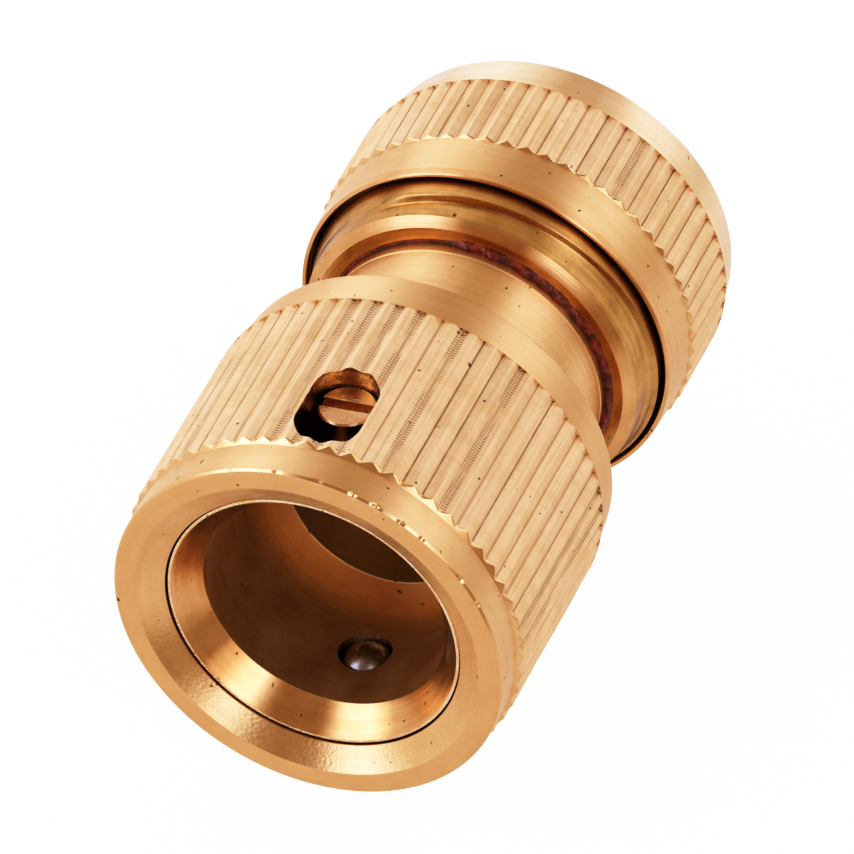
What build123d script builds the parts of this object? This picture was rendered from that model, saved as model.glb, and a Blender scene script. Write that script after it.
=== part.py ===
"""Quick-release brass connector for a 12.5 mm garden hose.

The connector lies on its side. +Y runs along its axis, from the socket's mouth at y = 0 to the hose end,
and +Z is up. Every turned piece is drawn as a half section of (radius, y) points in millimetres and
turned about Y. Angles round the axis are measured from +Z towards +X.
"""

import os
from math import atan, cos, radians, sin

from build123d import *

# Release sleeve, from its front face at y = 0
SLEEVE_LENGTH = 21.45
SLEEVE_BAND_R = 14.1
SLEEVE_REAR_BAND_R = 13.95
SLEEVE_KNURL_CREST_R = 14.5
SLEEVE_KNURL_FRONT = 2.95
SLEEVE_KNURL_REAR = 18.1
SLEEVE_TEETH = 57
SLEEVE_CREST_ANGLE = 7.6
SLEEVE_FACE_INNER_R = 12.47
SLEEVE_LIP_R = 10.72
SLEEVE_LIP_SETBACK = 0.97
SLEEVE_LIP_REAR = 2.2
SLEEVE_REAR_CHAMFER = 0.4
SLEEVE_GUIDE_R = 10.6
SLEEVE_GUIDE_FRONT = 10.5
SPRING_SHOULDER = 12.7
SPRING_CHAMBER_R = 12.45
SLEEVE_TRAVEL = 2.4

# Teeth shared by the sleeve and the clamp nut. Each ring of teeth is rooted this far into its band.
KNURL_DEPTH = 0.42
CREST_SHARE = 0.14
VALLEY_SHARE = 0.10
KNURL_ROOT = 0.25
KNURL_SEAT = 0.1

# Broken edges
EDGE = 0.25
FINE_EDGE = 0.12

# Socket body
MOUTH_FRONT = 1.14
MOUTH_R = 10.25
BARREL_R = 10.45
BORE_R = 8.81
BORE_FRONT = 3.17
SHOULDER_Y = 13.79
NOSE_BORE_R = 6.9
NOSE_BORE_REAR = 24.5
WATERWAY_R = 5.0
COLLAR_FRONT = 19.6
COLLAR_REAR = 21.3
COLLAR_R = 12.3
NECK_R = 10.19
NECK_WAIST_R = 9.95
NECK_LINE_Y = 28.8
NECK_LINE_DEPTH = 0.12
NECK_FLARE = 1.2
NECK_REAR = 30.7
SPIGOT_R = 8.6
SPIGOT_REAR = 34.5

# Locking balls: radial pockets through the barrel, one ball in each
BALL_R = 2.0
BALL_Y = 8.3
BALL_PROTRUSION = 0.5
BALL_LIFT = 0.552
BALL_ANGLES = {"ball_bottom": 173.5, "ball_right": 53.5, "ball_left": -66.5}
POCKET_R = 2.05
POCKET_SEAT_R = 1.88
POCKET_SEAT_TOP = 9.3

# Stop screw and the sleeve's access hole above it
SCREW_ANGLE = -3.0
SCREW_R = 2.03
SCREW_TOP = 12.85
SCREW_FOOT = 9.2
SCREW_SLOT_WIDTH = 0.85
SCREW_SLOT_DEPTH = 0.8
SCREW_SLOT_TURN = 4
HOLE_WIDTH = 4.72
HOLE_FRONT = 3.5
HOLE_REAR = 11.1
SCREW_GAP = 0.03
FIT_GAP = 0.02

# Sleeve spring
SPRING_WIRE_R = 0.5
SPRING_MEAN_R = 11.45
SPRING_TURNS = 3.5
SPRING_GAP = 0.05

# Hose tail
FLANGE_FRONT = 29.68
SEAL_RECESS_R = 10.69
SEAL_SEAT_Y = 31.3
FLANGE_FACE_R = 11.48
THREAD_ROOT_R = 12.5
THREAD_CREST_R = 13.0
CHAMFER_REAR = 30.3
COLLAR_TAIL_REAR = 39.4
HOSE_POCKET_R = 10.3
HUB_REAR = 35.5
TAIL_R = 6.1
BARB_R = 6.65
TAIL_REAR = 45.8
TAIL_BORE_R = 4.7
BARB_COUNT = 3
BARB_PITCH = 2.4
BARB_LENGTH = 2.1

# Screw thread between the hose tail and the clamp nut, right-handed
THREAD_LEAD = 3.5
TAIL_RIDGE_BASE = 1.9
TAIL_RIDGE_CREST = 1.5
TAIL_RIDGE_FRONT_AT_TOP = 31.95
TAIL_RIDGE_TURNS = 1.7
TAIL_RIDGE_START_ANGLE = -52
RUN_IN_OFFSET = 2.0
RUN_IN_START_R = 12.4
NUT_RIDGE_BASE = 1.2
NUT_RIDGE_CREST = 0.8
NUT_THREAD_R = 13.2
NUT_RIDGE_R = 12.65
NUT_RIDGE_TURNS = 1.25
NUT_RIDGE_START_ANGLE = -90
ROOT_OVERLAP = 0.25

# Clamp nut
NUT_FRONT = 33.0
NUT_REAR = 47.0
NUT_BAND_R = 13.75
NUT_RIM_R = 13.5
NUT_RIM_TAPER = 0.5
NUT_KNURL_CREST_R = 14.05
NUT_KNURL_FRONT = 36.9
NUT_KNURL_REAR = 43.2
NUT_TEETH = 58
NUT_CREST_ANGLE = 5.8
NUT_MOUTH_R = 13.35
NUT_THREAD_REAR = 41.2
RING_SEAT_R = 12.4
RING_SEAT_REAR = 43.1
CONE_REAR_R = 10.8
CONE_REAR = 45.5
HOSE_HOLE_R = 9.7
HOSE_HOLE_EDGE = 0.4
NUT_REAR_R = 13.15
NUT_CORNER_R = 1.3

# Grip ring, a split collet inside the nut
RING_FRONT = 41.6
RING_REAR = 45.2
RING_BORE_R = 9.5
RING_CLEARANCE = 0.15
RING_SPLIT_WIDTH = 1.6
RING_SLOT_WIDTH = 0.9
RING_SLOT_COUNT = 5
RING_SLOT_FRONT = 42.7
RING_CUT_R = 11
RING_CUT_HEIGHT = 6

SLEEVE_CONE_TAN = BALL_LIFT / SLEEVE_TRAVEL
BALL_CENTRE_R = BORE_R - BALL_PROTRUSION + BALL_R


def turned(points):
    """A solid of revolution about Y from a closed half section of (radius, y) points."""
    outline = make_face(Polyline(*[(r, y, 0) for r, y in points], close=True))
    return revolve(outline, axis=Axis.Y)


def toothed_band(crest_r, teeth, crest_angle, front, rear):
    """A ring of straight axial teeth, with one of its crests at the given angle round the axis."""
    pitch = 360 / teeth
    valley_r = crest_r - KNURL_DEPTH
    corners = (
        (-CREST_SHARE / 2, crest_r),
        (CREST_SHARE / 2, crest_r),
        (0.5 - VALLEY_SHARE / 2, valley_r),
        (0.5 + VALLEY_SHARE / 2, valley_r),
    )
    points = []
    for tooth in range(teeth):
        for share, r in corners:
            angle = radians(90 - crest_angle + (tooth + share) * pitch)
            points.append((r * cos(angle), r * sin(angle)))
    section = make_face(Polyline(*points, close=True)) - Circle(valley_r - KNURL_SEAT - KNURL_ROOT)
    return Pos(0, rear, 0) * Rot(90, 0, 0) * extrude(section, rear - front)


def at_angle(piece, angle, along):
    """Moves a piece built on +Z to its angle round the axis and its place along Y."""
    return Pos(0, along, 0) * Rot(0, angle, 0) * piece


def helical_ridge(section, lead, turns, start, angle):
    """A right-handed ridge about Y from a section of (radius, axial offset) points.

    The section's zero offset lies at y = start at the given angle round the axis.
    """
    mean_r = sum(r for r, _ in section) / len(section)
    path = Helix(lead, lead * turns, mean_r)
    plane = Plane(origin=path @ 0, x_dir=(1, 0, 0), z_dir=path % 0)
    profile = plane * make_face(Polyline(*[(r - mean_r, -offset) for r, offset in section], close=True))
    ridge = sweep(profile, path=path, is_frenet=True)
    return Pos(0, start, 0) * Rot(0, angle - 90, 0) * Rot(-90, 0, 0) * ridge


def release_sleeve():
    """Knurled sleeve: front lip, ball cone, guide land and spring chamber, with the screw's access hole."""
    recess_y = BALL_Y - SLEEVE_TRAVEL
    cone_cos = cos(atan(SLEEVE_CONE_TAN))
    cone_r = BALL_CENTRE_R + (BALL_R + FIT_GAP) / cone_cos
    recess_r = cone_r + SLEEVE_CONE_TAN * SLEEVE_TRAVEL
    cone_end_r = cone_r - SLEEVE_CONE_TAN * (SLEEVE_GUIDE_FRONT - BALL_Y)
    seat_r = SLEEVE_KNURL_CREST_R - KNURL_DEPTH - KNURL_SEAT
    blank = turned(
        [
            (SLEEVE_FACE_INNER_R, 0),
            (SLEEVE_BAND_R - FINE_EDGE, 0),
            (SLEEVE_BAND_R, FINE_EDGE),
            (SLEEVE_BAND_R, SLEEVE_KNURL_FRONT),
            (seat_r, SLEEVE_KNURL_FRONT),
            (seat_r, SLEEVE_KNURL_REAR),
            (SLEEVE_REAR_BAND_R, SLEEVE_KNURL_REAR),
            (SLEEVE_REAR_BAND_R, SLEEVE_LENGTH - SLEEVE_REAR_CHAMFER),
            (SLEEVE_REAR_BAND_R - SLEEVE_REAR_CHAMFER, SLEEVE_LENGTH),
            (SPRING_CHAMBER_R + EDGE, SLEEVE_LENGTH),
            (SPRING_CHAMBER_R, SLEEVE_LENGTH - EDGE),
            (SPRING_CHAMBER_R, SPRING_SHOULDER),
            (SLEEVE_GUIDE_R, SPRING_SHOULDER),
            (SLEEVE_GUIDE_R, SLEEVE_GUIDE_FRONT),
            (cone_end_r, SLEEVE_GUIDE_FRONT),
            (recess_r, recess_y),
            (recess_r, SLEEVE_LIP_REAR),
            (SLEEVE_LIP_R, SLEEVE_LIP_REAR),
            (SLEEVE_LIP_R, SLEEVE_LIP_SETBACK),
        ]
    )
    teeth = toothed_band(
        SLEEVE_KNURL_CREST_R, SLEEVE_TEETH, SLEEVE_CREST_ANGLE, SLEEVE_KNURL_FRONT, SLEEVE_KNURL_REAR
    )
    slot = extrude(SlotOverall(HOLE_REAR - HOLE_FRONT, HOLE_WIDTH, rotation=90), HOLE_WIDTH)
    slot = at_angle(Pos(0, 0, BARREL_R) * slot, SCREW_ANGLE, (HOLE_FRONT + HOLE_REAR) / 2)
    return blank + teeth - slot


def socket_body():
    """Socket with its ball pockets, the spring's collar, the neck and the spigot for the hose tail."""
    section = [
        (MOUTH_R, MOUTH_FRONT),
        (BARREL_R - FINE_EDGE, MOUTH_FRONT),
        (BARREL_R, MOUTH_FRONT + FINE_EDGE),
        (BARREL_R, COLLAR_FRONT),
        (COLLAR_R, COLLAR_FRONT),
        (COLLAR_R, COLLAR_REAR),
        (SEAL_RECESS_R, COLLAR_REAR),
        (NECK_WAIST_R, COLLAR_REAR + NECK_FLARE),
        (NECK_WAIST_R, NECK_LINE_Y - 2 * NECK_FLARE),
        (NECK_R - NECK_LINE_DEPTH, NECK_LINE_Y - NECK_FLARE),
        (NECK_R, NECK_LINE_Y - NECK_LINE_DEPTH),
        (NECK_R - NECK_LINE_DEPTH, NECK_LINE_Y),
        (NECK_R, NECK_LINE_Y + NECK_LINE_DEPTH),
        (NECK_R, NECK_REAR),
        (SPIGOT_R, NECK_REAR),
        (SPIGOT_R, SPIGOT_REAR),
        (WATERWAY_R, SPIGOT_REAR),
        (WATERWAY_R, NOSE_BORE_REAR + 2),
        (NOSE_BORE_R, NOSE_BORE_REAR),
        (NOSE_BORE_R, SHOULDER_Y),
        (BORE_R, SHOULDER_Y),
        (BORE_R, BORE_FRONT),
    ]
    body = turned(section)
    drill_top = BARREL_R + 1
    seat = Pos(0, 0, drill_top / 2) * Cylinder(POCKET_SEAT_R, drill_top)
    pocket = Pos(0, 0, (drill_top + POCKET_SEAT_TOP) / 2) * Cylinder(POCKET_R, drill_top - POCKET_SEAT_TOP)
    for angle in BALL_ANGLES.values():
        body -= at_angle(seat + pocket, angle, BALL_Y)
    screw_hole = Cylinder(SCREW_R + FIT_GAP, drill_top - SCREW_FOOT)
    screw_hole = Pos(0, 0, (drill_top + SCREW_FOOT) / 2) * screw_hole
    return body - at_angle(screw_hole, SCREW_ANGLE, screw_y())


def screw_y():
    """The screw's place along the axis: its rear side meets the rear end of the sleeve's hole."""
    return HOLE_REAR - SCREW_R - SCREW_GAP


def stop_screw():
    """Headless slotted screw that stands out of the barrel and stops the sleeve."""
    height = SCREW_TOP - SCREW_FOOT
    shank = Pos(0, 0, SCREW_FOOT + height / 2) * Cylinder(SCREW_R, height)
    shank = chamfer(shank.edges().group_by(Axis.Z)[-1], FINE_EDGE)
    slot = Rot(0, 0, SCREW_SLOT_TURN) * Box(4 * SCREW_R, SCREW_SLOT_WIDTH, 2 * SCREW_SLOT_DEPTH)
    return at_angle(shank - Pos(0, 0, SCREW_TOP) * slot, SCREW_ANGLE, screw_y())


def locking_ball(angle):
    """One steel ball, held inwards by the sleeve's cone."""
    return at_angle(Pos(0, 0, BALL_CENTRE_R) * Sphere(BALL_R), angle, BALL_Y)


def sleeve_spring():
    """Compression spring between the sleeve's shoulder and the collar."""
    room = COLLAR_FRONT - SPRING_SHOULDER
    height = room - 2 * (SPRING_WIRE_R + SPRING_GAP)
    path = Helix(height / SPRING_TURNS, height, SPRING_MEAN_R)
    wire = Plane(origin=path @ 0, z_dir=path % 0) * Circle(SPRING_WIRE_R)
    coil = sweep(wire, path=path, is_frenet=True)
    return Pos(0, SPRING_SHOULDER + SPRING_WIRE_R + SPRING_GAP, 0) * Rot(-90, 0, 0) * coil


def neck_seal():
    """Sealing compound squeezed out round the neck, over the washer that the neck's shoulder presses."""
    return turned(
        [
            (SPIGOT_R + FIT_GAP, SEAL_SEAT_Y),
            (SEAL_RECESS_R, SEAL_SEAT_Y),
            (SEAL_RECESS_R, FLANGE_FRONT + EDGE),
            (NECK_R, FLANGE_FRONT + FINE_EDGE),
            (NECK_R, NECK_REAR),
            (SPIGOT_R + FIT_GAP, NECK_REAR),
        ]
    )


def hose_tail():
    """Threaded collar with the barbed tube that goes inside the hose."""
    section = [
        (SEAL_RECESS_R, FLANGE_FRONT),
        (FLANGE_FACE_R, FLANGE_FRONT),
        (THREAD_ROOT_R, CHAMFER_REAR),
        (THREAD_ROOT_R, COLLAR_TAIL_REAR - EDGE),
        (THREAD_ROOT_R - EDGE, COLLAR_TAIL_REAR),
        (HOSE_POCKET_R, COLLAR_TAIL_REAR),
        (HOSE_POCKET_R, HUB_REAR),
        (TAIL_R, HUB_REAR),
    ]
    first_barb = TAIL_REAR - BARB_COUNT * BARB_PITCH - 2 * EDGE
    for number in range(BARB_COUNT):
        foot = first_barb + number * BARB_PITCH
        section += [(TAIL_R, foot), (BARB_R, foot), (TAIL_R, foot + BARB_LENGTH)]
    section += [
        (TAIL_R, TAIL_REAR - EDGE),
        (TAIL_R - EDGE, TAIL_REAR),
        (TAIL_BORE_R, TAIL_REAR),
        (TAIL_BORE_R, SPIGOT_REAR),
        (SPIGOT_R, SPIGOT_REAR),
        (SPIGOT_R, SEAL_SEAT_Y),
        (SEAL_RECESS_R, SEAL_SEAT_Y),
    ]
    base = TAIL_RIDGE_BASE / 2
    crest = TAIL_RIDGE_CREST / 2
    buried_r = THREAD_ROOT_R - ROOT_OVERLAP
    ridge_section = [
        (buried_r, -base),
        (THREAD_ROOT_R, -base),
        (THREAD_CREST_R, -crest),
        (THREAD_CREST_R, crest),
        (THREAD_ROOT_R, base),
        (buried_r, base),
    ]
    start_angle = TAIL_RIDGE_START_ANGLE
    start = TAIL_RIDGE_FRONT_AT_TOP + base + THREAD_LEAD * start_angle / 360
    ridge = helical_ridge(ridge_section, THREAD_LEAD, TAIL_RIDGE_TURNS, start, start_angle)
    return turned(section) + (ridge - run_in(start_angle, start))


def run_in(angle, start):
    """Cutter that fades the ridge's first stretch in from nothing, as an off-centre disc would leave it."""
    height = THREAD_LEAD * 0.8
    kept = Pos(0, 0, -RUN_IN_OFFSET) * Rot(90, 0, 0) * Cylinder(RUN_IN_START_R + RUN_IN_OFFSET, 2 * height)
    blank = Rot(90, 0, 0) * Cylinder(THREAD_CREST_R + 3 * RUN_IN_OFFSET, height)
    return at_angle(blank - kept, angle, start)


def nut_thread_phase(angle):
    """Where the middle of the nut's ridge lies at an angle round the axis, in its second groove."""
    tail_middle = TAIL_RIDGE_FRONT_AT_TOP + TAIL_RIDGE_BASE / 2 + THREAD_LEAD * angle / 360
    return tail_middle + 1.5 * THREAD_LEAD


def clamp_nut():
    """Knurled nut: internal thread, the grip ring's seat and cone, and the hole for the hose."""
    seat_r = NUT_KNURL_CREST_R - KNURL_DEPTH - KNURL_SEAT
    blank = turned(
        [
            (NUT_MOUTH_R, NUT_FRONT),
            (NUT_RIM_R, NUT_FRONT),
            (NUT_BAND_R, NUT_FRONT + NUT_RIM_TAPER),
            (NUT_BAND_R, NUT_KNURL_FRONT),
            (seat_r, NUT_KNURL_FRONT),
            (seat_r, NUT_KNURL_REAR),
            (NUT_BAND_R, NUT_KNURL_REAR),
            (NUT_REAR_R, NUT_REAR),
            (HOSE_HOLE_R + HOSE_HOLE_EDGE, NUT_REAR),
            (HOSE_HOLE_R, NUT_REAR - HOSE_HOLE_EDGE),
            (HOSE_HOLE_R, CONE_REAR),
            (CONE_REAR_R, CONE_REAR),
            (RING_SEAT_R, RING_SEAT_REAR),
            (RING_SEAT_R, NUT_THREAD_REAR),
            (NUT_THREAD_R, NUT_THREAD_REAR),
            (NUT_THREAD_R, NUT_FRONT + EDGE),
        ]
    )
    circles = blank.edges().filter_by(GeomType.CIRCLE)
    corner = [edge for edge in circles if abs(edge.radius - NUT_REAR_R) < FIT_GAP]
    blank = fillet(corner, NUT_CORNER_R)
    teeth = toothed_band(NUT_KNURL_CREST_R, NUT_TEETH, NUT_CREST_ANGLE, NUT_KNURL_FRONT, NUT_KNURL_REAR)
    base = NUT_RIDGE_BASE / 2
    crest = NUT_RIDGE_CREST / 2
    buried_r = NUT_THREAD_R + ROOT_OVERLAP
    ridge_section = [
        (buried_r, -base),
        (NUT_THREAD_R, -base),
        (NUT_RIDGE_R, -crest),
        (NUT_RIDGE_R, crest),
        (NUT_THREAD_R, base),
        (buried_r, base),
    ]
    start = nut_thread_phase(NUT_RIDGE_START_ANGLE)
    ridge = helical_ridge(ridge_section, THREAD_LEAD, NUT_RIDGE_TURNS, start, NUT_RIDGE_START_ANGLE)
    return blank + teeth + ridge


def grip_ring():
    """Split collet that the nut's cone closes on the hose."""
    outer_r = RING_SEAT_R - RING_CLEARANCE
    cone_tan = (RING_SEAT_R - CONE_REAR_R) / (CONE_REAR - RING_SEAT_REAR)
    ring = turned(
        [
            (RING_BORE_R, RING_FRONT),
            (outer_r, RING_FRONT),
            (outer_r, RING_SEAT_REAR - RING_CLEARANCE),
            (outer_r - cone_tan * (RING_REAR - RING_SEAT_REAR + RING_CLEARANCE), RING_REAR),
            (RING_BORE_R, RING_REAR),
        ]
    )
    length = RING_REAR - RING_FRONT
    ring -= Pos(0, RING_REAR, RING_CUT_R) * Box(RING_SPLIT_WIDTH, 3 * length, RING_CUT_HEIGHT)
    depth = RING_REAR - RING_SLOT_FRONT
    slot = Pos(0, RING_REAR, RING_CUT_R) * Box(RING_SLOT_WIDTH, 2 * depth, RING_CUT_HEIGHT)
    for number in range(1, RING_SLOT_COUNT + 1):
        ring -= Rot(0, 360 * number / (RING_SLOT_COUNT + 1), 0) * slot
    return ring


def main():
    pieces = {
        "release_sleeve": release_sleeve(),
        "socket_body": socket_body(),
        "stop_screw": stop_screw(),
        "sleeve_spring": sleeve_spring(),
        "neck_seal": neck_seal(),
        "hose_tail": hose_tail(),
        "clamp_nut": clamp_nut(),
        "grip_ring": grip_ring(),
    }
    for name, angle in BALL_ANGLES.items():
        pieces[name] = locking_ball(angle)
    os.makedirs("parts", exist_ok=True)
    for name, piece in pieces.items():
        export_step(piece, f"parts/{name}.step")


main()
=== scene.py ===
"""Looks of a brass garden hose quick connector, built round its CAD model.

Everything is in the CAD frame: +Y along the axis from the socket's mouth to the hose end, +Z up.
Turned pieces are drawn as half sections of (radius, y) points in millimetres and spun round Y.
Angles round the axis are measured from +Z towards +X.
"""

from math import cos, hypot, pi, radians, sin, tan

import bmesh
import bpy
import numpy as np
from mathutils import Matrix, Vector


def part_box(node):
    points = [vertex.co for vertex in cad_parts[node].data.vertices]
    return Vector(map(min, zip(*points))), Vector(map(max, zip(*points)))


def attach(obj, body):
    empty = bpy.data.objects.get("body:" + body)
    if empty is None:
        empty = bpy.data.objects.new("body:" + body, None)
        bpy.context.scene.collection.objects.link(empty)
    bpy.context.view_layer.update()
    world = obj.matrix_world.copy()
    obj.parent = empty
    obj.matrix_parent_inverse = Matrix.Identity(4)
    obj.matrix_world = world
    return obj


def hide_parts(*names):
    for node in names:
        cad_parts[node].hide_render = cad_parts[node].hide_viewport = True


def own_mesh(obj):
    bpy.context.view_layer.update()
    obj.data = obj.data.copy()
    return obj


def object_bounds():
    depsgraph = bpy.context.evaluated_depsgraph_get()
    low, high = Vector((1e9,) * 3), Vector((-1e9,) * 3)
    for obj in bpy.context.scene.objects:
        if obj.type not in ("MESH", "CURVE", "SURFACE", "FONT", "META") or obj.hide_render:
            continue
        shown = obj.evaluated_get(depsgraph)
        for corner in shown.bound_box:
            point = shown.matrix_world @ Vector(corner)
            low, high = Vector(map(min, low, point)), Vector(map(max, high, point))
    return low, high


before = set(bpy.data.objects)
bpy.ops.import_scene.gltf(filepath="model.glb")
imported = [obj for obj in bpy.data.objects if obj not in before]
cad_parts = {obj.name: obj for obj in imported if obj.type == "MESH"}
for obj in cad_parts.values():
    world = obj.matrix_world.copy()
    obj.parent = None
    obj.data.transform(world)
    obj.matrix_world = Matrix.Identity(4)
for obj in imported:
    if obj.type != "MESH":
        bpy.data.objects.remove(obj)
CAD_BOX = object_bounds()
MM = 0.001


def span(node):
    """Lowest and highest y of a CAD node and its largest radius, in millimetres."""
    low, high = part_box(node)
    return low.y / MM, high.y / MM, max(high.x, -low.x) / MM


_, SLEEVE_REAR, SLEEVE_CREST_R = span("release_sleeve")
BODY_FRONT, BODY_REAR, COLLAR_R = span("socket_body")
TAIL_FRONT, TAIL_REAR, RIDGE_R = span("hose_tail")
NUT_FRONT, NUT_REAR, NUT_CREST_R = span("clamp_nut")
SPRING_FRONT, SPRING_REAR, SPRING_OUTER_R = span("sleeve_spring")
SEAL_FRONT, SEAL_REAR, SEAL_R = span("neck_seal")

# Knurls: straight teeth, one crest every 360 / count degrees, from the angle of the first crest.
# Each runs between two y values and starts on a short ledge in front of and behind its first y.
SLEEVE_TEETH = 57
SLEEVE_CREST_ANGLE = 7.6
SLEEVE_KNURL = (2.95, 18.1)
SLEEVE_LEDGE = (-0.2, 0.2)
NUT_TEETH = 58
NUT_CREST_ANGLE = 5.8
NUT_KNURL = (36.9, 43.2)
NUT_LEDGE = (-0.06, 0.1)
KNURL_DEPTH = 0.27
KNURL_UNEVEN = 0.05
CREST_WEAR = 0.02
CREST_SHARE = 0.10
VALLEY_SHARE = 0.10
STEPS_PER_TOOTH = 14
END_ROOM = 0.001

# Plain bands beside the knurls
SLEEVE_BAND_R = 14.1
SLEEVE_REAR_BAND_R = 13.95
NUT_BAND_R = 13.75
NUT_RIM_R = 13.5
NUT_REAR_R = 13.15

# Sleeve's hole, and the screw and balls in the body
HOLE_ANGLE = -3.0
HOLE_SPAN = (3.5, 11.1)
HOLE_WIDTH = 4.72
HOLE_FOOT = 9
HOLE_TOP = 16
BALL_ANGLES = (173.5, 53.5, -66.5)
BALL_Y = 8.3
POCKET_R = 2.05
POCKET_FOOT = 7
POCKET_SEAT_R = 1.88
POCKET_SEAT_TOP = 9.3
POCKET_TOP = 12
SCREW_HOLE_R = 2.05
SCREW_Y = 9.04
SCREW_FOOT = 9.2

# Socket body
BORE_R = 8.81
NOSE_BORE_R = 6.9
BORE_REAR = 13.79
BARREL_R = 10.45
MOUTH_R = BARREL_R + 0.16
COLLAR_FRONT = 19.6
COLLAR_REAR = 21.3

# Joint between the neck and the hose tail, and the compound squeezed out of it
SPIGOT_R = 8.6
FLANGE_R = 10.19
FLANGE_REAR = 30.7
SEAL_SEAT = 31.3
SEAL_FLUSH = 29.7
SEAL_BULGE_FRONT = 29.42
SEAL_BULGE_ANGLE = 52

# Thread: the tail's ridge starts at an angle, and the nut's lies in the groove two turns further on.
# The groove's two flanks are measured back from the ridge's front.
THREAD_LEAD = 3.5
THREAD_ROOT_R = 12.5
THREAD_REAR = 37.0
LEAD_IN_R = 12.25
RIDGE_AT_TOP = 31.59
RIDGE_START = -43
RIDGE_RUN_IN = 20
RIDGE_FLANK = 0.1
GROOVE_FRONT = (2.2, 2.5)
GROOVE_REAR = (3.2, 3.5)
NUT_THREAD_R = 13.2
NUT_RIDGE_R = 12.65
NUT_RIDGE_AHEAD = 0.65
NUT_RIDGE_AT_TOP = RIDGE_AT_TOP - NUT_RIDGE_AHEAD + 2 * THREAD_LEAD
NUT_RIDGE_TURNS = (-90, 360)

# Hose tail's tube and its barbs
TUBE_R = 6.1
TUBE_BORE_R = 4.7
BARB_R = 6.65
BARB_LENGTH = 2.1
BARB_STARTS = (38.0, 40.4, 42.8)

# Length of the faces along a half section: the usual one, and finer ones where a surface is shaped
COARSE_STEP = 0.4
SEAL_STEP = 0.15
THREAD_STEP = 0.06
SLEEVE_LEDGE_STEP = 0.05
NUT_LEDGE_STEP = 0.04
LEAD_IN_STEP = 0.025


# ---------------------------------------------------------------- meshes


def rounded(points, steps=4):
    """A closed half section with its corners rounded. Each point is (r, y) or (r, y, corner radius)."""
    outline = []
    count = len(points)
    for i, point in enumerate(points):
        here = Vector(point[:2])
        radius = point[2] if len(point) > 2 else 0
        if not radius:
            outline.append(here)
            continue
        before = (Vector(points[i - 1][:2]) - here).normalized()
        after = (Vector(points[(i + 1) % count][:2]) - here).normalized()
        half_angle = before.angle(after) / 2
        reach = radius / tan(half_angle)
        middle = here + (before + after).normalized() * radius / sin(half_angle)
        start = here + before * reach - middle
        turn = start.angle_signed(here + after * reach - middle)
        for step in range(steps + 1):
            outline.append(middle + Matrix.Rotation(-turn * step / steps, 2) @ start)
    return outline


def divided(outline, step):
    """The closed outline with stretches longer than step(r, y) divided evenly."""
    points = []
    for i, here in enumerate(outline):
        after = outline[(i + 1) % len(outline)]
        middle = (here + after) / 2
        parts = max(1, round((after - here).length / step(middle.x, middle.y)))
        points += [here.lerp(after, part / parts) for part in range(parts)]
    return np.array([(p.x, p.y) for p in points])


def new_piece(name, verts, faces, body, sharp=40):
    """A smooth mesh piece with creases over the given angle, riding on a CAD body."""
    mesh = bpy.data.meshes.new(name)
    mesh.from_pydata(verts, [], faces)
    piece = bpy.data.objects.new(name, mesh)
    bpy.context.scene.collection.objects.link(piece)
    tidy_mesh(piece, sharp)
    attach(piece, body)
    return piece


def tidy_mesh(piece, sharp):
    """Outward normals and smooth shading with creases over the given angle."""
    work = bmesh.new()
    work.from_mesh(piece.data)
    bmesh.ops.recalc_face_normals(work, faces=work.faces)
    work.to_mesh(piece.data)
    work.free()
    piece.data.shade_smooth()
    piece.data.set_sharp_from_angle(angle=radians(sharp))


def even_step(r, y):
    """The usual length of the faces, everywhere."""
    return COARSE_STEP


def lathe(name, outline, segments, body, surface=None, step=even_step, regions=()):
    """A piece spun round Y from its closed outline.

    surface(r, y, angle) may move its points, and step(r, y) is the length of the faces along the outline.
    regions lists (material name, test) pairs, and each face takes the first whose test(r, y) holds.
    """
    points = divided(outline, step)
    angle = np.linspace(-pi, pi, segments, endpoint=False)[None, :]
    r = points[:, :1] + 0 * angle
    y = points[:, 1:] + 0 * angle
    if surface:
        r, y = surface(r, y, angle + 0 * r)
    coords = np.stack([r * np.sin(angle), y, r * np.cos(angle)], axis=-1) * MM
    rings = len(points)
    index = np.arange(rings * segments).reshape(rings, segments)
    across = np.roll(index, -1, axis=0)
    faces = np.stack([index, across, np.roll(across, -1, axis=1), np.roll(index, -1, axis=1)], axis=-1)
    piece = new_piece(name, coords.reshape(-1, 3).tolist(), faces.reshape(-1, 4).tolist(), body)
    if regions:
        for region, _ in regions:
            piece.data.materials.append(MATERIALS[region])
        middles = (points + np.roll(points, -1, axis=0)) / 2
        chosen = [next(i for i, (_, test) in enumerate(regions) if test(r, y)) for r, y in middles]
        piece.data.polygons.foreach_set("material_index", np.repeat(chosen, segments).astype(np.int32))
    return piece


def cylinder_cutter(radius, low, high, angle, along, stretch=0.0, sides=64):
    """A radial cutter from radius low to high at an angle, stretched along Y into a slot."""
    verts = []
    for height in (low, high):
        for side in range(sides):
            turn = 2 * pi * side / sides
            shift = stretch / 2 * (1 if sin(turn) >= 0 else -1)
            verts.append((radius * cos(turn), radius * sin(turn) + shift, height))
    bottom = list(range(sides))
    top = [side + sides for side in bottom]
    faces = [bottom, top[::-1]]
    faces += [[i, i + sides, (i + 1) % sides + sides, (i + 1) % sides] for i in bottom]
    mesh = bpy.data.meshes.new("cutter")
    mesh.from_pydata(verts, [], faces)
    place = Matrix.Translation((0, along, 0)) @ Matrix.Rotation(radians(angle), 4, "Y")
    mesh.transform(Matrix.Scale(MM, 4) @ place)
    cutter = bpy.data.objects.new("cutter", mesh)
    bpy.context.scene.collection.objects.link(cutter)
    tidy_mesh(cutter, 40)
    return cutter


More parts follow.
